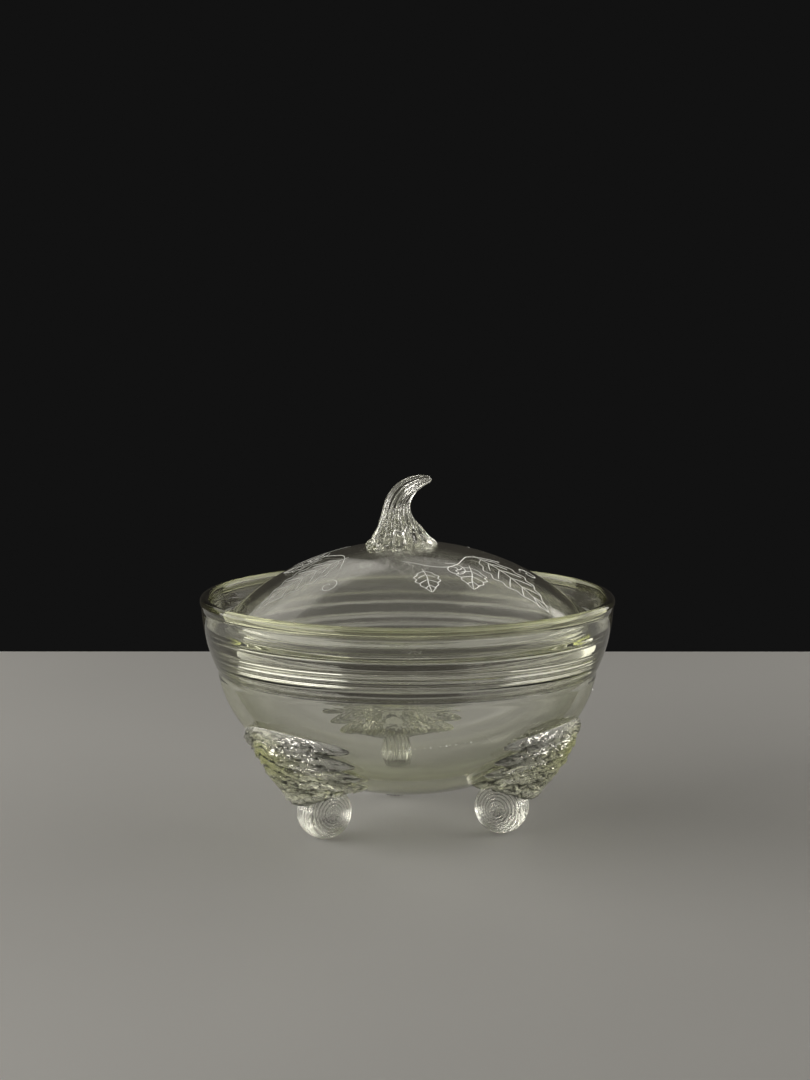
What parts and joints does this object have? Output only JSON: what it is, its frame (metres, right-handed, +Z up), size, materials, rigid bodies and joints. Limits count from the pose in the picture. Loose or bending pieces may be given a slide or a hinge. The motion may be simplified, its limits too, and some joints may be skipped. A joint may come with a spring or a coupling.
{
  "type": "covered glass bowl",
  "caption": "Round clear-glass bowl on leaf-and-scroll feet, with an inset domed lid lifted by a fluted, curled stem handle; holds sweets or fruit.",
  "frame": {"origin": "on the table under the bowl's axis, at the bottom centre of the bounding box", "axes": "+Z up along the bowl's axis; -Y is the front, midway between the front feet; the handle curls towards +X"},
  "size_m": [0.16, 0.16, 0.1367],
  "materials": {
    "bowl_glass": "clear, fire-polished, faint yellow-green where the glass is thick",
    "lid_glass": "clear, fire-polished, with frosted wheel-engraved vine leaves and tendrils",
    "handle_glass": "clear, fluted lengthwise",
    "leaf_glass": "clear, tooled relief, yellow-green in the thick midrib",
    "scroll_glass": "clear, ribbed and coiled"
  },
  "bodies": {
    "bowl": {"bowl": "bowl_glass", "leaf_bracket_front_left": "leaf_glass", "leaf_bracket_front_right": "leaf_glass", "leaf_bracket_back": "leaf_glass", "scroll_foot_front_left": "scroll_glass", "scroll_foot_front_right": "scroll_glass", "scroll_foot_back": "scroll_glass"},
    "lid": {"lid": "lid_glass", "lid_handle": "handle_glass"}
  },
  "joints": [
    {"name": "lid_lift", "type": "slide", "parent": "bowl", "child": "lid", "axis": [0, 0, 1], "range_m": [0, 0.06]}
  ]
}
